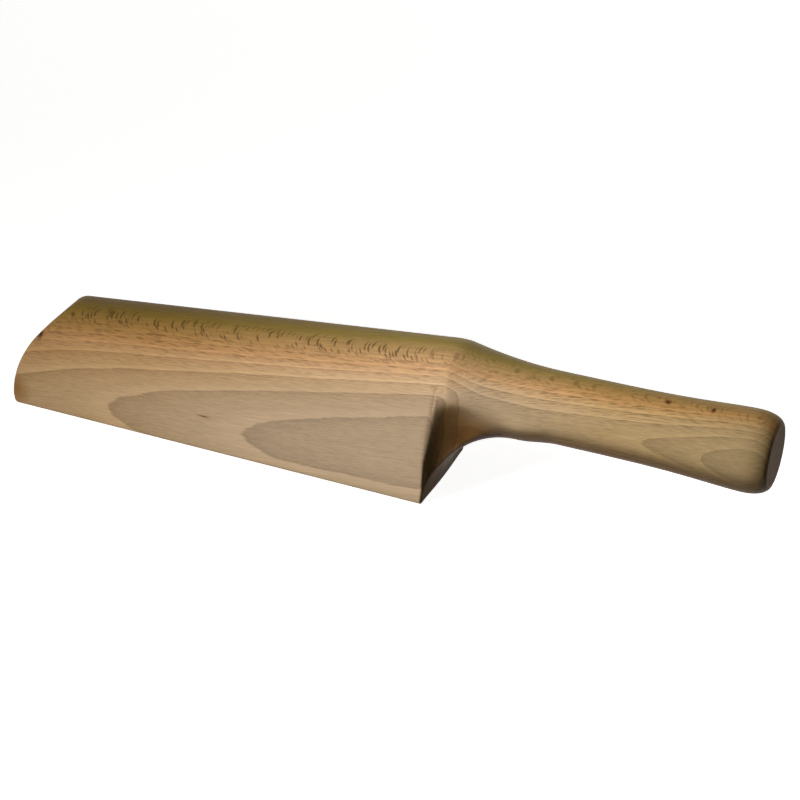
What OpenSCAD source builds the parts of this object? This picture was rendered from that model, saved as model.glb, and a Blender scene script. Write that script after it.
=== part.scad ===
// One-piece wooden dressing mallet: a wedge of solid beech with a flat sole and a
// round back, and a handle turned from the same block.
// The sole lies on z = 0, the handle points toward +x, and y = 0 is the mirror plane.

/* [Whole tool] */
// Length from the toe to the end of the handle
overall_l = 380; // [340:1:440]
// Length of the blade, from the toe to the heel
blade_l = 223; // [180:1:250]

/* [Blade] */
// Height of the back above the sole at the heel
heel_h = 73.6; // [68:0.1:84]
// Height of the back above the sole at the toe, before the rake is cut
toe_h = 49.6; // [44:0.1:60]
// Radius of the round back
back_r = 21; // [19:0.1:24]
// Lean of each cheek from upright
cheek_lean = 6.7; // [4:0.1:12]

/* [Toe] */
// How far the top of the toe is cut back
toe_rake = 24.5; // [16:0.5:36]
// Height at which the toe reaches furthest forward
toe_nose_z = 6; // [3:0.5:14]
// Bend of the toe: 1 is a straight slope, higher values curve it more
toe_bend = 1.9; // [1:0.05:2.5]
// How far the round under the nose runs back to the sole
nose_round = 3; // [1:0.5:8]
// Radius of the toe's corners, seen from above
toe_corner_r = 2; // [1:0.5:10]
// Radius of the softened edges along both sides of the sole
sole_edge_r = 2.5; // [1:0.5:6]

/* [Heel] */
// Radius of the turned cove between the heel and the handle
cove_r = 40; // [30:0.5:55]
// Diameter of the handle where the cove springs from it
cove_d = 36.9; // [34:0.1:40]
// Length over which the underside thins from there to the neck
cove_tail = 20; // [12:0.5:30]
// Length of the slope from the back down to the neck
shoulder_l = 55; // [42:1:70]
// Extra radius of that slope at the heel
shoulder_rise = 7; // [5:0.1:12]
// Bend of that slope: 1 is straight, higher values hollow it more
shoulder_bend = 1.9; // [1:0.05:2.5]
// Radius of the scoop cut into each side behind the heel
scoop_r = 11; // [6:0.5:20]

/* [Handle] */
// Height of the handle's axis above the sole
axis_z = 52.4; // [48:0.1:58]
// Diameter of the neck
neck_d = 33.1; // [28:0.1:36]
// Largest diameter of the handle, near its end
swell_d = 37.5; // [34:0.1:44]
// Distance from the end of the handle to its largest diameter
swell_back = 11; // [6:0.5:24]
// Bend of the swell: higher values keep the handle thin for longer
swell_bend = 6.5; // [2:0.5:9]
// Diameter of the flat end, inside its rounded rim
end_d = 28; // [18:0.5:33]
// Width left between the two side scoops
waist_w = 34.4; // [33.5:0.1:40]

/* [Hidden] */
$fn = 96;

x_toe = -overall_l / 2;
x_heel = x_toe + blade_l;
x_end = overall_l / 2;
handle_l = overall_l - blade_l;
neck_r = neck_d / 2;
swell_r = swell_d / 2;

// Slope of the back, and the height of the round back's centre line over the toe
slope = atan((heel_h - toe_h) / blade_l);
toe_c = toe_h - back_r / cos(slope);
heel_c = heel_h - back_r / cos(slope);

// Half the width of the sole where the centre line is at height c
function half_sole(c) = (back_r + c * cos(slope) * sin(cheek_lean)) / cos(cheek_lean);

// Distance that the toe is cut back at height z: a power curve above its nose and an
// elliptic round below it
function toe_cut(z) = z > toe_nose_z
    ? toe_rake * pow((z - toe_nose_z) / (toe_h - toe_nose_z), toe_bend)
    : nose_round * (1 - sqrt(1 - pow((toe_nose_z - z) / toe_nose_z, 2)));

// Radius of the handle at the share t of the way from the neck to the swell, level at both
function grip_r(t) =
    neck_r + (swell_r - neck_r) * pow(t, swell_bend) * (1 + swell_bend * (1 - t));

// Section of the blank, square to its back: a circle between two cheeks that lean in
module blank_section() {
    depth = 2 * heel_h;
    half_w = (back_r + depth * sin(cheek_lean)) / cos(cheek_lean);
    circle(back_r);
    polygon([
        [back_r * cos(cheek_lean), back_r * sin(cheek_lean)],
        [-back_r * cos(cheek_lean), back_r * sin(cheek_lean)],
        [-half_w, -depth],
        [half_w, -depth],
    ]);
}

// Sawn blank, straight from in front of the toe to past the end of the handle
module blank() {
    translate([x_toe, 0, toe_c])
        rotate([0, -slope, 0])
            translate([-20, 0, 0])
                rotate([90, 0, 90])
                    linear_extrude(overall_l + 60) blank_section();
}

// Outline of the handle, radius against distance behind the heel: a neck, a long swell
// and an elliptic rim around the flat end
module grip_outline() {
    swell_at = handle_l - swell_back;
    end_r = end_d / 2;
    polygon(concat(
        [[0, 0], [neck_r, 0]],
        [for (i = [0:24]) let (t = i / 24)
            [grip_r(t), cove_r + t * (swell_at - cove_r)]],
        [for (i = [1:12]) let (a = 90 * i / 12)
            [end_r + (swell_r - end_r) * cos(a), swell_at + swell_back * sin(a)]],
        [[0, handle_l]]
    ));
}

// Outline of the cove under the handle: a concave quarter round at the heel, then a tail
// that eases down to the neck
module cove_outline() {
    r = cove_d / 2;
    difference() {
        square([r + cove_r, cove_r]);
        translate([r + cove_r, cove_r]) circle(cove_r);
    }
    polygon(concat(
        [[0, cove_r]],
        [for (i = [0:10]) let (t = i / 10)
            [neck_r + (r - neck_r) * (1 + cos(180 * t)) / 2, cove_r + cove_tail * t]],
        [[0, cove_r + cove_tail]]
    ));
}

// Long slope of the back behind the heel, radius against distance
module shoulder_outline() {
    polygon(concat(
        [[0, 0]],
        [for (i = [0:16]) let (t = i / 16)
            [neck_r + shoulder_rise * pow(1 - t, shoulder_bend), shoulder_l * t]],
        [[0, shoulder_l]]
    ));
}

// Lathe work about the handle's axis: the blade passes through untouched, the cove is
// cut below the axis, and above it the back runs down to the neck in a long slope
module turned() {
    translate([x_heel, 0, axis_z]) rotate([0, 90, 0]) {
        translate([0, 0, -blade_l - 30]) cylinder(r = 2 * heel_h, h = blade_l + 30);
        rotate_extrude() grip_outline();
        rotate([0, 0, -90]) rotate_extrude(angle = 180) cove_outline();
        rotate_extrude() shoulder_outline();
    }
}

// Side view of the tool: flat sole, raked toe, and room above for the back
module side_view() {
    top = 2 * heel_h;
    polygon(concat(
        [for (i = [0:12]) let (z = toe_nose_z * (1 - cos(90 * i / 12)))
            [x_toe + toe_cut(z), z]],
        [for (i = [1:16]) let (z = toe_nose_z + i / 16 * (toe_h + 12 - toe_nose_z))
            [x_toe + toe_cut(z), z]],
        [[x_toe + toe_cut(toe_h + 12), top], [x_end + 5, top], [x_end + 5, 0]]
    ));
}

// Waste at a corner of the toe, outside a quarter round, seen from above
module toe_corner() {
    edge = half_sole(toe_c);
    linear_extrude(2 * heel_h, center = true)
        difference() {
            translate([x_toe - 1, edge - toe_corner_r]) square([toe_corner_r + 1, toe_corner_r + 5]);
            translate([x_toe + toe_corner_r, edge - toe_corner_r]) circle(toe_corner_r);
        }
}

// Waste along one edge of the sole, outside a round that touches the sole and the cheek
module sole_edge() {
    r = sole_edge_r;
    toe_w = half_sole(toe_c);
    widen = atan((half_sole(heel_c) - toe_w) / blade_l);
    reach = r / tan((90 - cheek_lean) / 2);
    translate([x_toe, toe_w, 0])
        rotate([90, 0, 90 + widen])
            translate([-reach, r, -5])
                linear_extrude(blade_l + 10)
                    difference() {
                        polygon([
                            [0, 0], [0, -r - 2], [reach + 5, -r - 2],
                            (r + 4) * [cos(cheek_lean), sin(cheek_lean)],
                        ]);
                        circle(r);
                    }
}

// Waste beside the waist: a scoop with an upright quarter round, running on to the neck
module side_scoop() {
    linear_extrude(4 * heel_h, center = true)
        difference() {
            translate([x_heel, waist_w / 2]) square([cove_r + cove_tail, 2 * back_r]);
            difference() {
                translate([x_heel, waist_w / 2]) square(scoop_r);
                translate([x_heel + scoop_r, waist_w / 2 + scoop_r]) circle(scoop_r);
            }
        }
}

module beech_body() {
    color("#b98d62")
        difference() {
            intersection() {
                blank();
                turned();
                rotate([90, 0, 0]) linear_extrude(8 * back_r, center = true) side_view();
            }
            for (side = [0, 1]) mirror([0, side, 0]) {
                toe_corner();
                sole_edge();
                side_scoop();
            }
        }
}

beech_body();
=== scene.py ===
"""One-piece beech dressing mallet, dressed for the camera inside its CAD frame."""
import math

import bpy
import numpy as np
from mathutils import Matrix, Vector


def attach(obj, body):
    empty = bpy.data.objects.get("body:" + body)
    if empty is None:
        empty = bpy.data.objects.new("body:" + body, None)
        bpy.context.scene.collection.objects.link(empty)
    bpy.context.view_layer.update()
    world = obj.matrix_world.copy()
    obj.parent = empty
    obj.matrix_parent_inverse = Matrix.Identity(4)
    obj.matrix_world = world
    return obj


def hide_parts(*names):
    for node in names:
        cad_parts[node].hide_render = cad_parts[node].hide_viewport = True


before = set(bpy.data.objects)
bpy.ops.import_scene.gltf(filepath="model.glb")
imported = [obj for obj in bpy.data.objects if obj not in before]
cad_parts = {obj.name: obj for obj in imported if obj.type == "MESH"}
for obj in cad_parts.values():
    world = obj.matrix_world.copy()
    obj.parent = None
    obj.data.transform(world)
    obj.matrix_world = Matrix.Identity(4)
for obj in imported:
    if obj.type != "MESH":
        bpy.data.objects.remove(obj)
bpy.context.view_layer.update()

# ---------------------------------------------------------------------------------------
# The mallet: one block of steamed beech. The blade is sawn to a wedge with a round back
# and planed, the cove and the handle are turned, a scoop is cut into each side behind the
# heel, and every edge is eased by hand. Nothing is joined to it.
# ---------------------------------------------------------------------------------------

# Sizes in mm, as in the frame: the sole is on z = 0, the handle points along +x
x_toe, x_heel, x_end = -190.0, 33.0, 190.0
# blade: height of the back at its two ends, radius of the back, lean of the cheeks
heel_h, toe_h = 73.6, 49.6
back_r = 21.0
lean = math.radians(6.7)
slope = math.atan((heel_h - toe_h) / (x_heel - x_toe))
toe_c = toe_h - back_r / math.cos(slope)
sole_edge_r = 2.5
# toe: how far its top is cut back, height and bend of its nose, and the round below that
toe_rake, nose_z, toe_bend, nose_round = 24.5, 6.0, 1.9, 3.0
# lathe work about the handle's axis: the cove, its tail, and the slope of the shoulder
axis_z = 52.4
cove_r, cove_neck_r, cove_tail = 40.0, 18.45, 20.0
shoulder_l, shoulder_rise, shoulder_bend = 55.0, 7.0, 1.9
# side scoops: length, bend and half the width left; above scoop_low each starts later
scoop_l, scoop_bend, waist = 16.5, 2.9, 15.6
scoop_low, scoop_delay = 22.0, 0.13
# handle: radii of the neck, the swell and the flat end, and the swell's place
neck_r, swell_r, end_r = 16.55, 18.75, 14.0
swell_bend, swell_back = 6.5, 11.0
swell_at = x_end - x_heel - swell_back


def smooth(a, b, v):
    """0 below a and 1 above b, eased between them as 3t^2 - 2t^3."""
    t = np.clip((v - a) / (b - a), 0, 1)
    return t * t * (3 - 2 * t)


def round_off(a, b, r, cos_turn):
    """Distance from the solid inside both a and b: the greater of the two, and where they
    meet a round of radius r. Its centre line is r inside both surfaces, and the distance
    from it follows from a + r, b + r and the cosine of the turn between their normals."""
    a_in, b_in = a + r, b + r
    squared = a_in**2 + b_in**2 - 2 * a_in * b_in * cos_turn
    arc = np.sqrt(np.maximum(squared, 0) / np.maximum(1 - cos_turn**2, 1e-4)) - r
    within = (a_in > b_in * cos_turn) & (b_in > a_in * cos_turn)
    return np.where(within, arc, np.maximum(a, b))


def centre_z(x):
    """Height of the round back's centre line, a straight line that rises to the heel."""
    return toe_c + (x - x_toe) * math.tan(slope)


def half_sole(x):
    """Half the width of the sole: where the leaning cheek's plane meets z = 0."""
    rise = centre_z(x) * math.cos(slope) * math.sin(lean)
    return (back_r + rise) / math.cos(lean)


def toe_cut(z):
    """Distance the toe is cut back at height z: a power curve above the nose, and the
    quarter of an ellipse below it."""
    above = np.clip((z - nose_z) / (toe_h - nose_z), 0, None)
    below = np.clip((nose_z - z) / nose_z, 0, 1)
    return toe_rake * above**toe_bend + nose_round * (1 - np.sqrt(1 - below**2))


def cove_radius(d):
    """Radius under the axis at d behind the heel: a concave quarter circle, then half a
    cosine wave down to the neck."""
    hollow = cove_neck_r + cove_r - np.sqrt(
        np.clip(cove_r**2 - (cove_r - np.clip(d, 0, cove_r)) ** 2, 0, None))
    t = np.clip((d - cove_r) / cove_tail, 0, 1)
    tail = neck_r + (cove_neck_r - neck_r) * (1 + np.cos(math.pi * t)) / 2
    return np.where(d < cove_r, hollow, tail)


def shoulder_radius(d):
    """Radius over the axis: the neck's, and a power curve that rises to the heel."""
    return neck_r + shoulder_rise * np.clip(1 - d / shoulder_l, 0, None) ** shoulder_bend


def unscooped_half(d, z):
    """Half the width at d behind the heel and height z before the scoops are cut: the
    lesser of the blank's and the lathe work's."""
    q = (z - centre_z(x_heel + d)) * math.cos(slope)
    cheek = (back_r - q * math.sin(lean)) / math.cos(lean)
    arc = np.sqrt(np.clip(back_r**2 - q**2, 0, None))
    blank = np.where(q > back_r * math.sin(lean), arc, cheek)
    under = smooth(-4, 7, axis_z - z)
    r = shoulder_radius(d) + (cove_radius(d) - shoulder_radius(d)) * under
    return np.minimum(blank, np.sqrt(np.clip(r**2 - (z - axis_z) ** 2, waist**2, None)))


def scoop_half(d, z):
    """Half the width left by a side scoop: a power curve from the cheek's edge, later the
    higher it starts, in to the waist. The scoop fades out under the back and towards the
    neck, where the width from before it takes over."""
    whole = unscooped_half(d, z)
    edge = unscooped_half(0 * d, z)
    start = scoop_delay * np.clip(z - scoop_low, 0, 40)
    run = np.clip(1 - (d - start) / scoop_l, 0, None)
    half = waist + (edge - waist) * run**scoop_bend
    faded = 1 - (1 - smooth(44, 61, z)) * (1 - smooth(16, 42, d))
    return half + np.maximum(whole - half, 0) * faded


def grip_radius(d):
    """Radius of the handle: t^p (1 + p (1 - t)) from the neck to the swell, level at both
    ends, then the quarter of an ellipse to the flat end."""
    t = np.clip((d - cove_r) / (swell_at - cove_r), 0, 1)
    grip = neck_r + (swell_r - neck_r) * t**swell_bend * (1 + swell_bend * (1 - t))
    e = np.clip((d - swell_at) / swell_back, 0, 1)
    return grip - (swell_r - end_r) * (1 - np.sqrt(1 - e**2))


def section_distance(y, q):
    """Blank's section at y beside its centre line and q over it, square to the back: a
    circle, over two planes that touch the circle and lean out."""
    y = np.abs(y)
    cheek = y * math.cos(lean) + q * math.sin(lean) - back_r
    on_back = q * math.cos(lean) > y * math.sin(lean)
    return np.where(on_back, np.hypot(y, q) - back_r, cheek)


def blank_distance(p):
    """Sawn blank: its section along the sloping centre line, over the flat sole. The edges
    along the sole are rounded."""
    x, y, z = p[..., 0], p[..., 1], p[..., 2]
    q = (z - toe_c) * math.cos(slope) - (x - x_toe) * math.sin(slope)
    return round_off(section_distance(y, q), -z, sole_edge_r, -math.sin(lean))


def toe_distance(p):
    """Raked toe: how far it is cut back past x, over the length of its own slope there."""
    x, z = p[..., 0], p[..., 2]
    rise = np.clip((toe_cut(z + 0.05) - toe_cut(z - 0.05)) / 0.1, -2, 2)
    return (x_toe + toe_cut(z) - x) / np.hypot(1, rise)


def lathe_distance(p):
    """Lathe work: the cove under the axis and the shoulder over it, turned into each other
    at the sides, and the grip added to both."""
    d, y, z = p[..., 0] - x_heel, p[..., 1], p[..., 2]
    rho = np.hypot(y, z - axis_z)
    grown = grip_radius(d) - neck_r
    hollow = cove_r - np.hypot(d - cove_r, rho - cove_neck_r - cove_r)
    cove = np.where(d < cove_r, hollow, rho - cove_radius(d) - grown)
    shoulder = rho - shoulder_radius(d) - grown
    under = smooth(-0.2, 0.35, (axis_z - z) / np.maximum(rho, 1))
    return shoulder + (cove - shoulder) * under


def scoop_distance(p):
    """Side scoops: how far y is outside scoop_half, over the length of its slope there."""
    d, y, z = p[..., 0] - x_heel, np.abs(p[..., 1]), p[..., 2]
    rise = (scoop_half(d + 0.1, z) - scoop_half(d - 0.1, z)) / 0.2
    rise_z = (scoop_half(d, z + 0.1) - scoop_half(d, z - 0.1)) / 0.2
    return (y - scoop_half(d, z)) / np.sqrt(1 + rise**2 + rise_z**2)


def faded_scoop(p):
    """Side scoops with a clearance that grows where they have faded out, under the back
    and along the neck, so that no rounding sees them there."""
    d, z = p[..., 0] - x_heel, p[..., 2]
    return scoop_distance(p) - 40 * smooth(60, 66, z) - 3 * smooth(40, 50, d)


def cos_between(first, second, p, step=0.02):
    """Cosine of the angle between two surfaces' normals at p, each the direction in which
    its distance grows, from differences over a small step."""
    normals = []
    for distance in (first, second):
        n = np.stack([distance(p + e) - distance(p - e) for e in step * np.eye(3)], axis=-1)
        normals.append(n / np.maximum(np.linalg.norm(n, axis=-1, keepdims=True), 1e-9))
    return np.clip((normals[0] * normals[1]).sum(axis=-1), -0.9, 0.999)


def where_zero(distance, start, way, steps):
    """Points where a distance is 0 on the rays start + t way, by halving t's range from 0
    to 90 mm, which is past the surface on every ray."""
    near, far = np.zeros(way.shape[:2]), np.full(way.shape[:2], 90.0)
    for _ in range(steps):
        half = (near + far) / 2
        inside = distance(start + way * half[..., None]) < 0
        near, far = np.where(inside, half, near), np.where(inside, far, half)
    return start + way * near[..., None]


# Steps of the grid across half the sole, up a cheek and over half the back
n_sole, n_cheek, n_back = 28, 42, 34


def mallet_columns(x):
    """Angles about the centre line at which each station is cut, all the way round from
    straight down. Along the blade they are steps across the sole and up the cheek that
    close up towards the edge between the two, and even angles over the back. Behind the
    heel they ease into even angles, from the scoop's lower corner upwards."""
    d = x - x_heel
    z_mid = np.minimum(centre_z(x), axis_z)
    in_blade = d < 0
    y_c = np.where(in_blade, half_sole(x), np.minimum(half_sole(x), scoop_half(d, 20.0)))
    r_c = cove_radius(d)
    z_c = np.where(in_blade, 0, axis_z - np.sqrt(np.clip(r_c**2 - y_c**2, 0, None)))
    corner = np.arctan2(np.maximum(z_c, 0) - z_mid, y_c)
    corner = np.where(in_blade, corner, np.minimum(corner, math.radians(-40)))
    turned = smooth(0, 45, d)
    top = lean + (math.radians(41) - lean) * turned
    q = np.linspace(0, 1, n_sole + 1)[:-1]
    y_s = y_c * (q + 0.35 * q * (1 - q))
    sole = np.arctan2(-z_mid, y_s)
    sole += (-math.pi / 2 + (corner + math.pi / 2) * q - sole) * smooth(-3, 3, d)
    q = np.linspace(0, 1, n_cheek + 1)[:-1]
    q_c = q + 0.25 * (q - 1) * q * (1 - turned)
    y_t, z_t = back_r * math.cos(lean), back_r * math.sin(lean)
    cheek = np.arctan2(
        (np.maximum(z_c, 0) - z_mid) * (1 - q_c) + z_t * q_c, y_c * (1 - q_c) + y_t * q_c)
    cheek += (corner + (top - corner) * q - cheek) * turned
    q = np.linspace(0, 1, n_back + 1)
    back = top + (math.pi / 2 - top) * q
    half = np.concatenate([sole, cheek, back], axis=1)
    return np.concatenate([half, math.pi - half[:, -2:0:-1]], axis=1)


def mallet_stations():
    """Grid of rays, ring by ring from the toe's middle to the butt's. Each ray leaves the
    centre line and goes out through an aim point. The toe's rings are its outline drawn
    smaller and smaller, the next ones lean with the toe and come upright along the blade,
    and those of the cove lie at even steps along its arc."""
    # outline that the rake cuts, seen along the tool: its reach from the centre line, moved
    # a few times by the distance that is left
    x_front = np.full((1, 1), x_toe + 6)
    phi = mallet_columns(x_front)
    mid = centre_z(x_front)
    reach = np.full_like(phi, 20.0)
    for _ in range(12):
        y, z = reach * np.cos(phi), mid + reach * np.sin(phi)
        reach -= np.maximum(section_distance(y, (z - mid) * math.cos(slope)), -z)
    # toe: rings that close up towards its edge, all cut from one point behind it
    x_first = x_toe + 30
    s = np.linspace(0, 1, 30)[1:-1, None]
    s = s + 0.45 * s * (1 - s)
    y, z = s * reach * np.cos(phi), mid + s * reach * np.sin(phi)
    aim = [np.stack([x_toe + toe_cut(z), y, z], axis=-1)]
    start = [np.broadcast_to([x_first, 0, mid[0, 0]], aim[-1].shape)]
    # front of the blade: from the toe's edge to an upright station, in growing steps
    edge = x_toe + toe_cut(mid + reach * np.sin(phi))
    x_up = -130.0
    g = np.cumsum(np.concatenate([[0], np.geomspace(0.3, 2.0, 52)]))[:, None]
    x = edge + (x_up - edge) * g / g[-1]
    on_cheek = x[:, [n_sole + n_cheek]]
    middle = np.maximum(on_cheek, x_first)
    phi = mallet_columns(np.maximum(on_cheek, x_front))
    mid = centre_z(middle)
    aim.append(np.stack([x, reach * np.cos(phi), mid + reach * np.sin(phi)], axis=-1))
    start.append(np.stack([middle + 0 * phi, 0 * phi, mid + 0 * phi], axis=-1))
    # rest of the blade, the heel, the cove and the neck: upright stations
    a = np.linspace(0, math.pi / 2, 74)
    x = np.concatenate([
        np.linspace(x_up, x_heel - 4, 78)[1:-1],
        x_heel - 4 * np.linspace(1, 0, 16)[:-1] ** 1.7,
        x_heel + cove_r * (1 - np.cos(a)),
        x_heel + cove_r + np.linspace(0, cove_tail, 16)[1:]])[:, None]
    phi = mallet_columns(x)
    mid = np.minimum(centre_z(x), axis_z)
    aim.append(np.stack([x + 0 * phi, 20 * np.cos(phi), mid + 20 * np.sin(phi)], axis=-1))
    start.append(np.stack([x + 0 * phi, 0 * phi, mid + 0 * phi], axis=-1))
    return np.concatenate(start), np.concatenate(aim), phi[-1]


def mallet_surface():
    """Points of the mallet on the grid of rays: where each ray leaves the blank, the toe,
    the lathe work or the scoops, first as sharp solids, then with each edge rounded by the
    turn that its two surfaces make there. The handle behind the neck is a plain surface of
    revolution: (grip_radius(d), angle), then rings down to the middle of its flat end. With
    the points comes the wear: how far the rounding moved each, and 1 on the butt's rim,
    which the wood shows as a paler ring that is partly painted highlight."""
    start, aim, phi = mallet_stations()
    way = aim - start
    way /= np.linalg.norm(way, axis=-1, keepdims=True)
    sharp = where_zero(
        lambda p: np.maximum(np.maximum(blank_distance(p), toe_distance(p)),
                             np.maximum(lathe_distance(p), faded_scoop(p))),
        start, way, 22)
    # radii of the rounds: crisp low down, wider on top, and none where the scoops run out
    d, z = sharp[..., 0] - x_heel, sharp[..., 2]
    toe_edge = 2.2 + 6 * smooth(36, 48, z)
    heel_edge = 1.2 + 4 * smooth(14, 50, z) + 34 * smooth(64, 74, z)
    tail_edge = (2 + 4 * smooth(10, 30, d)) * (1 - smooth(44, 58, d))
    toe_turn = cos_between(blank_distance, toe_distance, sharp)
    tail_turn = cos_between(lathe_distance, scoop_distance, sharp)

    def blade(p):
        return round_off(blank_distance(p), toe_distance(p), toe_edge, toe_turn)

    def tail(p):
        return round_off(lathe_distance(p), faded_scoop(p), tail_edge, tail_turn)

    heel_turn = cos_between(blade, tail, sharp)
    body = where_zero(lambda p: round_off(blade(p), tail(p), heel_edge, heel_turn),
                      start, way, 32)
    n_end = 13
    d = np.concatenate([
        np.linspace(cove_r + cove_tail, swell_at, 54)[1:-1],
        swell_at + swell_back * np.sin(np.linspace(0, math.pi / 2, 26)),
        np.full(n_end, x_end - x_heel)])[:, None]
    r = grip_radius(d)
    r[-n_end:] = end_r * np.linspace(1, 0, n_end + 2)[1:-1, None]
    handle = np.stack(np.broadcast_arrays(
        x_heel + d, r * np.cos(phi), axis_z + r * np.sin(phi)), axis=-1)
    worn = np.linalg.norm(body - sharp, axis=-1)
    # the butt's rim counts as worn: a paler ring, partly painted highlight
    rim = smooth(0.75, 0.9, (d - swell_at) / swell_back) + 0 * phi
    rim[-n_end:] = 0
    return np.concatenate([body, handle]), np.concatenate([worn, rim])


def closed_mesh(name, grid, first, last):
    """Mesh of a closed skin: rings of points, joined to the next ring and to their own
    first point, with one point at each end."""
    rings, across = grid.shape[:2]
    points = np.concatenate([grid.reshape(-1, 3), [first, last]]) * 0.001
    i = np.arange(rings - 1)[:, None] * across
    j = np.arange(across)
    k = (j + 1) % across
    quads = np.stack([i + j, i + k, i + across + k, i + across + j], axis=-1).reshape(-1, 4)
    tip, butt = rings * across, rings * across + 1
    end = (rings - 1) * across
    caps = np.concatenate([
        np.stack([np.full(across, tip), k, j], axis=-1),
        np.stack([np.full(across, butt), end + j, end + k], axis=-1)])
    mesh = bpy.data.meshes.new(name)
    mesh.from_pydata(points, [], quads.tolist() + caps.tolist())
    mesh.polygons.foreach_set("use_smooth", np.ones(len(mesh.polygons), bool))
    mesh.validate()
    mesh.update()
    return mesh


skin, wear = mallet_surface()
toe_mid = skin[0].mean(axis=0)
butt_mid = np.array([x_end, 0, axis_z])
mesh = closed_mesh("beech_mallet", skin, toe_mid, butt_mid)
mallet = bpy.data.objects.new("beech_mallet", mesh)
bpy.context.collection.objects.link(mallet)


def through(knots, x):
    """Curve through knots at even steps from the toe to the butt: on each step the cubic
    whose slope at a knot is half the difference of that knot's neighbours."""
    t = np.clip((x - x_toe) / (x_end - x_toe) * (len(knots) - 1), 0, len(knots) - 1.001)
    i = t.astype(int)
    t = t - i
    k = np.concatenate([[2 * knots[0] - knots[1]], knots, [2 * knots[-1] - knots[-2]]])
    a, b, c, d = k[i], k[i + 1], k[i + 2], k[i + 3]
    return b + 0.5 * t * (c - a + t * (2 * a - 5 * b + 4 * c - d + t * (3 * (b - c) + d - a)))


# Where the heart of the tree ran, at even steps from the toe to the butt: heart_away from
# the block's middle, on the near side, rising towards the butt, and heart_bend further
# away behind the heel. The neck just touches the ring at ring_touched, and no ring nearer
# to the heart shows there.
heart_y = np.array([-99.9, -98.2, -96.2, -94.2, -92.8, -91.6, -91.9, -89.7, -86.0])
heart_z = np.array([11.2, 18.7, 20.5, 23.9, 30.4, 38.5, 54.3, 65.0, 58.7])
heart_away, heart_bend, ring_touched = 95, 3.3, 78.0
# Distances from the heart at which a year ended, first as in the photograph and further
# out about 2.4 mm a year
years = [60.0, 63.4, 67.0, 70.77, 74.44, 77.5, 80.55, 83.3, 86.5, 88.9, 91.1, 93.8, 95.7]
years += [95.7 + 2.4 * k + 0.5 * math.sin(1.9 * k) for k in range(1, 18)]


def give_grain(mesh, wear):
    """Stores the wood's own coordinates on the mesh, each as an attribute.
    grain: distance r from the heart, height in mm along a ring, and distance x along the
    tool. The height is heart_away times the angle round the heart, plus the heart's own
    height, so that the grain stays level where the heart rises, and a twist of 0.09 mm for
    each mm of x. The large rays lie in it.
    fibre: the same with a twist of -0.08, in which the fibres and the small rays lie.
    ring: whole years of growth and the part of the next one.
    tone: r, less where the tree's grey core reaches further out behind the heel.
    end_grain: 0 where the fibres lie in the surface, 1 where it cuts them square.
    crescents and dashes: how clearly the rays show as either, by the turn of the surface
    from the heart, less behind their band.
    hollow: 1 in the depth of the side scoops, where shade is painted. underside: 1 under the
    grip, where shade is painted.
    rounding: the wear of the edges, and on the butt's rim a paler ring that is partly
    painted highlight."""
    p = np.empty(len(mesh.vertices) * 3)
    n = np.empty(len(mesh.vertices) * 3)
    mesh.vertices.foreach_get("co", p)
    mesh.vertices.foreach_get("normal", n)
    x, y, z = p.reshape(-1, 3).T * 1000
    nx, ny, nz = n.reshape(-1, 3).T
    d = x - x_heel
    zc = through(heart_z, x)
    out, up = y - through(heart_y, x) + heart_bend * smooth(36, 60, x), z - zc
    r = np.hypot(out, up)
    for name, twist in [("grain", 0.09), ("fibre", -0.08)]:
        along_ring = heart_away * np.arctan2(up, out) + zc + twist * x
        mesh.attributes.new(name, "FLOAT_VECTOR", "POINT").data.foreach_set(
            "vector", np.stack([r, along_ring, x], axis=-1).ravel())
    on_neck = smooth(45, 50, x) * (1 - smooth(85, 105, x))
    held = ring_touched + 0.5 * np.logaddexp(0, (r - ring_touched) / 0.5)
    core = 8.5 * smooth(38, 60, x) * (1 - smooth(80, 93, r))
    facing = (ny * out + nz * up) / r
    clear = 1 - 0.8 * smooth(0.03, 0.25, facing) * (1 - smooth(0.6, 0.9, facing))
    flecked = 1.3 - 0.65 * smooth(22, 34, x)
    depth = unscooped_half(np.clip(d, 0, None), z) - np.abs(y)
    in_scoop = smooth(0, 2, d) * (1 - smooth(10, 26, d)) * (1 - smooth(52, 61, z))
    for name, values in {
            "ring": np.interp(r + (held - r) * on_neck, years, np.arange(len(years))),
            "tone": r - core,
            "end_grain": np.abs(nx),
            "crescents": flecked * clear * (1 - smooth(0.15, 0.45, np.abs(facing))),
            "dashes": clear * smooth(0.12, 0.40, np.abs(facing)),
            # mask of the painted shade in the depth of the side scoops
            "hollow": smooth(0.3, 3.5, depth) * in_scoop,
            # mask of the painted shade under the grip
            "underside": smooth(0.0, 0.62, -nz) * smooth(46, 62, x),
            "rounding": np.append(wear.ravel(), [0, 0])}.items():
        mesh.attributes.new(name, "FLOAT", "POINT").data.foreach_set("value", values)


give_grain(mesh, wear)


def to_linear(hex_colour):
    """sRGB hex colour to the linear red, green, blue and alpha that a socket takes."""
    parts = [int(hex_colour[i:i + 2], 16) / 255 for i in (1, 3, 5)]
    return [c / 12.92 if c <= 0.04045 else ((c + 0.055) / 1.055) ** 2.4 for c in parts] + [1]


def add(tree, kind, sockets=None, stops=None, **settings):
    """Adds a node with its settings. Each socket, by number or name, gets a value or
    another node's output, the first one where only the node is given. A ramp gets its
    stops, each a place and a hex colour or a plain number."""
    node = tree.nodes.new("ShaderNode" + kind)
    for name, value in settings.items():
        setattr(node, name, value)
    for name, value in (sockets or {}).items():
        if isinstance(value, bpy.types.Node):
            value = value.outputs[0]
        if isinstance(value, bpy.types.NodeSocket):
            tree.links.new(value, node.inputs[name])
        else:
            node.inputs[name].default_value = value
    for i, (place, colour) in enumerate(stops or []):
        ramp = node.color_ramp.elements
        stop = ramp[i] if i < 2 else ramp.new(place)
        stop.position = place
        stop.color = to_linear(colour) if isinstance(colour, str) else [colour] * 3 + [1]
    return node
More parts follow.
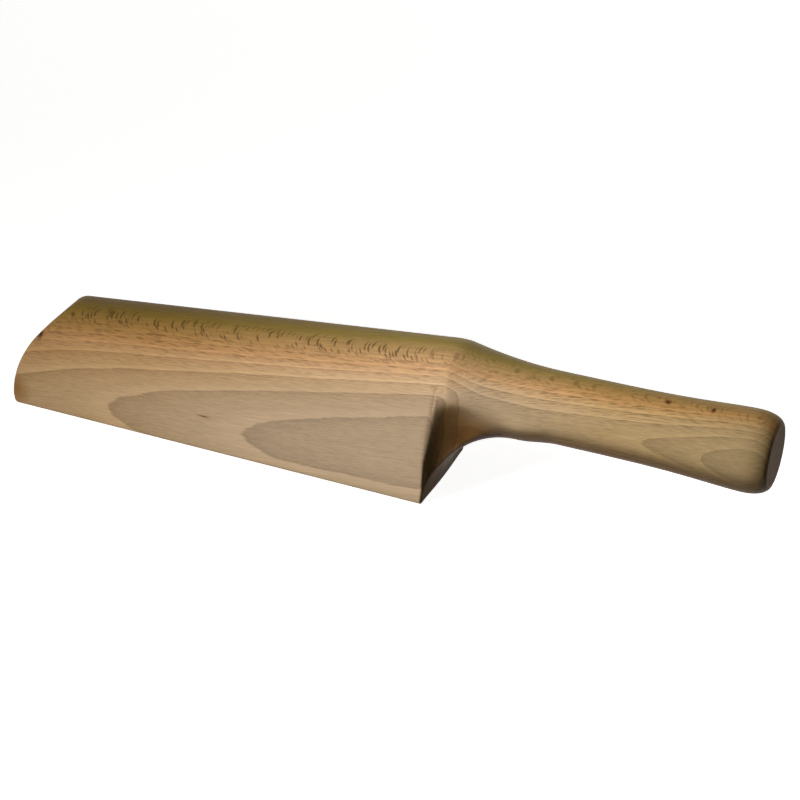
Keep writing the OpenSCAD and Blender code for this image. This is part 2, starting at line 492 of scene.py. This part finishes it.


# Steamed beech, planed, sanded and waxed: pinkish tan, with painted shade that darkens the
# back, the outer wood towards the toe, the scoops and the grip's underside. Each year ends
# in a band that is greyer and a fifth darker. The rays show as fine dark dashes on the
# flat-sawn cheeks and as crescents along the back, where the surface lies in their plane.
# Patterns lie in the grain's millimetres, so a scale of 0.1 is a cell of 10 mm.
beech = bpy.data.materials.new("steamed beech, planed and waxed")
beech.use_nodes = True
tree = beech.node_tree
tree.nodes.clear()
grain = add(tree, "Attribute", attribute_name="grain").outputs["Vector"]
fibre = add(tree, "Attribute", attribute_name="fibre").outputs["Vector"]
from_heart = add(tree, "SeparateXYZ", {0: grain}).outputs["X"]
place = add(tree, "TexCoord").outputs["Object"]
along = add(tree, "SeparateXYZ", {0: place}).outputs["X"]
(ring, tone, end_grain, crescents, dashes, hollow, underside, rounding) = [
    add(tree, "Attribute", attribute_name=name).outputs["Fac"]
    for name in ("ring", "tone", "end_grain", "crescents", "dashes", "hollow", "underside",
                 "rounding")]

# growth rings: slow waves, 45 mm long, and fine steps, 6 mm long, in each year's edge
coarse = add(tree, "VectorMath", {0: grain, 1: (0.10, 0.10, 0.022)}, operation="MULTIPLY")
wave = add(tree, "TexNoise", {"Vector": coarse, "Scale": 1.0, "Detail": 2.0})
fine = add(tree, "VectorMath", {0: grain, 1: (0.9, 1.1, 0.16)}, operation="MULTIPLY")
step = add(tree, "TexNoise", {"Vector": fine, "Scale": 1.0, "Detail": 3.0})
year = add(tree, "Math", {0: wave, 1: 0.16, 2: -0.11}, operation="MULTIPLY_ADD")
year = add(tree, "Math", {0: step, 1: 0.06, 2: year}, operation="MULTIPLY_ADD")
year = add(tree, "Math", {0: year, 1: ring}, operation="ADD")
season = add(tree, "Math", {0: year}, operation="FRACT")
late = add(tree, "ValToRGB", {0: season}, stops=[
    (0.0, 0.0), (0.10, 0.05), (0.30, 0.36), (0.65, 0.52), (0.90, 0.78), (0.975, 1.0),
    (1.0, 0.0)])

# colour of early and late wood from the grey core, 66 mm from the heart, through pinkish
# tan and a darker olive back to the far side, 130 mm from it. The darker olive over the
# back is painted shade of the top, which faces away from the low lamps.
far_out = add(tree, "MapRange", {0: tone, 1: 66.0, 2: 130.0})
early_wood = add(tree, "ValToRGB", {0: far_out}, stops=[
    (0.0, "#c0a88a"), (0.10, "#d0b391"), (0.18, "#dcb98f"), (0.28, "#daad7d"),
    (0.42, "#c09c68"), (0.52, "#a8904c"), (0.64, "#a88f54"), (0.80, "#c6a273"),
    (1.0, "#cfae82")])
late_wood = add(tree, "ValToRGB", {0: far_out}, stops=[
    (0.0, "#a8937a"), (0.10, "#ae9578"), (0.18, "#bb9873"), (0.28, "#c29367"),
    (0.42, "#a88450"), (0.52, "#8f7b3b"), (0.64, "#907b42"), (0.80, "#ab895d"),
    (1.0, "#b2946c")])
weak = add(tree, "MapRange", {0: from_heart, 1: 84.0, 2: 96.0, 3: 1.0, 4: 0.5})
late = add(tree, "Math", {0: late, 1: weak}, operation="MULTIPLY")
wood = add(tree, "Mix", {0: late, 6: early_wood, 7: late_wood}, data_type="RGBA")

# streaks of vessels along the fibres, 22 mm long. Real vessels are under 0.1 mm across,
# which would not show, so the streaks are 0.4 to 0.8 mm.
lines = add(tree, "VectorMath", {0: fibre, 1: (1.3, 2.6, 0.045)}, operation="MULTIPLY")
streak = add(tree, "TexNoise", {
    "Vector": lines, "Scale": 1.0, "Detail": 5.0, "Roughness": 0.6})
shade = add(tree, "MapRange", {0: streak, 1: 0.25, 2: 0.75, 3: 0.80, 4: 1.20})

# rays: flat cells, 8 to 9 mm out from the heart and 4 to 6 mm along, of which the middle
# shows. Real ones are 0.1 mm thick, and are drawn at about 0.3 mm to show.
cells = add(tree, "VectorMath", {0: fibre, 1: (0.12, 2.2, 0.17)}, operation="MULTIPLY")
small_ray = add(tree, "TexVoronoi", {"Vector": cells, "Scale": 1.0, "Randomness": 1.0})
small_ray = add(tree, "MapRange", {0: small_ray.outputs["Distance"], 1: 0.50, 2: 0.26},
                interpolation_type="SMOOTHSTEP")
row = add(tree, "Math", {0: late, 1: 0.8, 2: 0.4}, operation="MULTIPLY_ADD")
small_ray = add(tree, "Math", {0: small_ray, 1: row}, operation="MULTIPLY")
small_ray = add(tree, "Math", {0: small_ray, 1: dashes}, operation="MULTIPLY")
cells = add(tree, "VectorMath", {0: grain, 1: (0.11, 2.8, 0.25)}, operation="MULTIPLY")
large_ray = add(tree, "TexVoronoi", {"Vector": cells, "Scale": 1.0, "Randomness": 1.0})
large_ray = add(tree, "MapRange", {0: large_ray.outputs["Distance"], 1: 0.46, 2: 0.24},
                interpolation_type="SMOOTHSTEP")
large_ray = add(tree, "Math", {0: large_ray, 1: crescents}, operation="MULTIPLY")
rays = add(tree, "Math", {0: small_ray, 1: large_ray}, operation="MAXIMUM")
ray_depth = add(tree, "MapRange", {0: from_heart, 1: 76.0, 2: 86.0, 3: -0.16, 4: -0.46})
ray_cut = add(tree, "Math", {0: rays, 1: ray_depth, 2: 1.0}, operation="MULTIPLY_ADD")
shade = add(tree, "Math", {0: shade, 1: ray_cut}, operation="MULTIPLY")

# end grain: soaks up the wax and is darker and browner. Where cut square, on the butt's
# face, it is darker still, partly from the wax and partly as painted shade
cut = add(tree, "Math", {0: end_grain, 1: 1.6}, operation="POWER")
square = add(tree, "Math", {0: end_grain, 1: 12.0}, operation="POWER")
soaked_and_shaded = add(tree, "Math", {0: square, 1: -0.35, 2: 1.0}, operation="MULTIPLY_ADD")
shade = add(tree, "Math", {0: shade, 1: soaked_and_shaded}, operation="MULTIPLY")

# painted shade darkens the outer wood towards the toe, where the light falls off; handling
# has yellowed the handle a little; painted shade darkens the scoops and the grip's underside
to_toe = add(tree, "MapRange", {0: along, 1: 0.035, 2: -0.110})
outer = add(tree, "MapRange", {0: from_heart, 1: 68.0, 2: 84.0})
toe_shade = add(tree, "Math", {0: to_toe, 1: outer}, operation="MULTIPLY")
to_butt = add(tree, "MapRange", {0: along, 1: 0.050, 2: 0.120})
# multiplies: end grain, painted shade to the toe, yellowed handle, painted shade in scoops
for part, colour in [
        (cut, "#ab9b78"), (toe_shade, "#e0d4b4"), (to_butt, "#fdf6d8"), (hollow, "#ac9e7c"),
        (underside, "#8c7b5a")]:
    wood = add(tree, "Mix", {0: part, 6: wood.outputs["Result"], 7: to_linear(colour)},
               data_type="RGBA", blend_type="MULTIPLY")

# marks, each with its centre, half sizes in m and colour: a pin knot on the near cheek, one
# under the neck, a chip on the toe, a stain on the toe's lower near edge that is partly
# painted shade, painted shade behind the heel over the scoop and the neck, and two dents
# on the grip
for centre, half_sizes, colour in [
        ((-0.0815, -0.0237, 0.0187), (0.0044, 0.0040, 0.00055), "#a58a6a"),
        ((0.0658, -0.0137, 0.0410), (0.0036, 0.0030, 0.0008), "#7a5c40"),
        ((-0.1735, -0.0178, 0.0395), (0.0022, 0.0030, 0.0038), "#6a5438"),
        # stain on the toe's lower near edge, partly end grain and partly painted shade
        ((-0.1900, -0.0235, 0.0085), (0.0120, 0.0100, 0.0110), "#d2bb9a"),
        # painted shade behind the heel, over the scoop and the neck's underside
        ((0.0550, -0.0150, 0.0350), (0.0250, 0.0300, 0.0230), "#8f7852"),
        ((0.1405, -0.0023, 0.0692), (0.0024, 0.0020, 0.0040), "#8a6844"),
        ((0.1612, -0.0027, 0.0701), (0.0015, 0.0024, 0.0040), "#7a5a38")]:
    off = add(tree, "VectorMath", {0: place, 1: centre}, operation="SUBTRACT")
    off = add(tree, "VectorMath", {0: off, 1: half_sizes}, operation="DIVIDE")
    off = add(tree, "VectorMath", {0: off}, operation="LENGTH").outputs["Value"]
    mark = add(tree, "MapRange", {0: off, 1: 1.0, 2: 0.3})
    wood = add(tree, "Mix", {0: mark, 6: wood.outputs["Result"], 7: to_linear(colour)},
               data_type="RGBA", blend_type="MULTIPLY")

# edges: rubbed a little paler and smoother where the sharp corner has been taken off. On
# the butt's rim the paler ring is partly a painted highlight
eased = add(tree, "MapRange", {0: rounding, 1: 0.1, 2: 0.9})
shade = add(tree, "Math", {0: eased, 1: 0.10, 2: shade}, operation="MULTIPLY_ADD")
wood = add(tree, "VectorMath", {0: wood.outputs["Result"], "Scale": shade},
           operation="SCALE")

# surface: satin wax, duller on end grain, with the streaks and rays a hair deep
satin = add(tree, "MapRange", {0: streak, 1: 0.3, 2: 0.7, 3: 0.56, 4: 0.48})
satin = add(tree, "Math", {0: eased, 1: -0.08, 2: satin}, operation="MULTIPLY_ADD")
gloss = add(tree, "Math", {0: cut, 1: -0.08, 2: 0.10}, operation="MULTIPLY_ADD")
height = add(tree, "Math", {0: streak, 1: 0.5, 2: rays}, operation="MULTIPLY_ADD")
relief = add(tree, "Bump", {"Height": height, "Strength": 0.35, "Distance": 0.00006})
bsdf = add(tree, "BsdfPrincipled", {
    "Base Color": wood, "Roughness": satin, "Normal": relief, "Specular IOR Level": gloss})
add(tree, "OutputMaterial", {"Surface": bsdf})
mesh.materials.append(beech)

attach(mallet, "root")
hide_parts("beech_body")

# ---------------------------------------------------------------------------------------
# The floor: one seamless sheet of white paper under the mallet and far past it.
# ---------------------------------------------------------------------------------------
half_sheet = 6.0
corners = [(-1, -1), (1, -1), (1, 1), (-1, 1)]
sheet = bpy.data.meshes.new("white_paper")
sheet.from_pydata([(half_sheet * x, half_sheet * y, 0) for x, y in corners], [], [(0, 1, 2, 3)])
floor = bpy.data.objects.new("white_paper", sheet)
bpy.context.collection.objects.link(floor)

# Matt paper: dull and even. To the camera it glows, so that it shows white with a soft
# shadow, and to the mallet it is a dark table top, so that little light comes from below.
paper = bpy.data.materials.new("matt white paper")
paper.use_nodes = True
tree = paper.node_tree
tree.nodes.clear()
path = add(tree, "LightPath")
matt = add(tree, "BsdfDiffuse", {"Color": to_linear("#f4f4f4")})
glow = add(tree, "Emission", {"Strength": 0.93})
seen = add(tree, "AddShader", {0: matt, 1: glow})
table = add(tree, "BsdfDiffuse", {"Color": to_linear("#242320")})
direct = path.outputs["Is Camera Ray"]
for ray in ("Is Glossy Ray", "Is Transmission Ray"):
    direct = add(tree, "Math", {0: direct, 1: path.outputs[ray]}, operation="MAXIMUM")
mixed = add(tree, "MixShader", {0: direct, 1: table, 2: seen})
add(tree, "OutputMaterial", {"Surface": mixed})
sheet.materials.append(paper)

# ---------------------------------------------------------------------------------------
# The studio: a soft lamp in front of the heel, two weak ones over the grip and one low
# behind the mallet, dim warm light from the room, a backdrop that the camera sees as
# white, and the camera at the photograph's angle.
# ---------------------------------------------------------------------------------------
target = Vector((0.01096, 0, 0.03724))


def round_target(azimuth, elevation, distance):
    """Point at that azimuth, elevation and distance from the target."""
    a, e = math.radians(azimuth), math.radians(elevation)
    back = Vector((math.sin(a) * math.cos(e), -math.cos(a) * math.cos(e), math.sin(e)))
    return target + distance * back


def soft_lamp(name, azimuth, elevation, distance, aim_x, size, spread, power):
    """Round soft lamp at a round_target point, turned to the mallet's middle at aim_x."""
    data = bpy.data.lights.new(name, "AREA")
    data.shape, data.size, data.spread, data.energy = "DISK", size, math.radians(spread), power
    lamp = bpy.data.objects.new(name, data)
    lamp.location = round_target(azimuth, elevation, distance)
    aim = Vector((aim_x, 0, 0.05))
    lamp.rotation_euler = (aim - lamp.location).to_track_quat("-Z", "Y").to_euler()
    bpy.context.collection.objects.link(lamp)


# each lamp's angles in degrees, distance, aim_x and size in m, spread, and power in W
soft_lamp("front_lamp", -38, 14, 1.0, 0.02, 0.30, 42, 0.54)
soft_lamp("grip_lamp", -38, 60, 0.6, 0.13, 0.20, 40, 0.085)
soft_lamp("top_lamp", 60, 66, 0.6, 0.10, 0.35, 180, 0.05)
soft_lamp("back_lamp", 185, 4, 1.0, 0.0, 0.40, 180, 0.5)

world = bpy.data.worlds.new("pale_room")
bpy.context.scene.world = world
world.use_nodes = True
tree = world.node_tree
tree.nodes.clear()
path = add(tree, "LightPath")
direct = path.outputs["Is Camera Ray"]
for ray in ("Is Glossy Ray", "Is Transmission Ray"):
    direct = add(tree, "Math", {0: direct, 1: path.outputs[ray]}, operation="MAXIMUM")
room = add(tree, "Background", {"Color": to_linear("#efe6b8"), "Strength": 0.06})
white = add(tree, "Background", {"Color": to_linear("#ffffff"), "Strength": 1.0})
mixed = add(tree, "MixShader", {0: direct, 1: room, 2: white})
add(tree, "OutputWorld", {"Surface": mixed})

lens = bpy.data.cameras.new("camera")
lens.sensor_width, lens.lens = 36.0, 96.57
camera = bpy.data.objects.new("camera", lens)
camera.location = round_target(23.73, 31.22, 1.00401)
camera.rotation_euler = (target - camera.location).to_track_quat("-Z", "Y").to_euler()
bpy.context.collection.objects.link(camera)
bpy.context.scene.camera = camera
bpy.context.scene.view_settings.view_transform = "Standard"
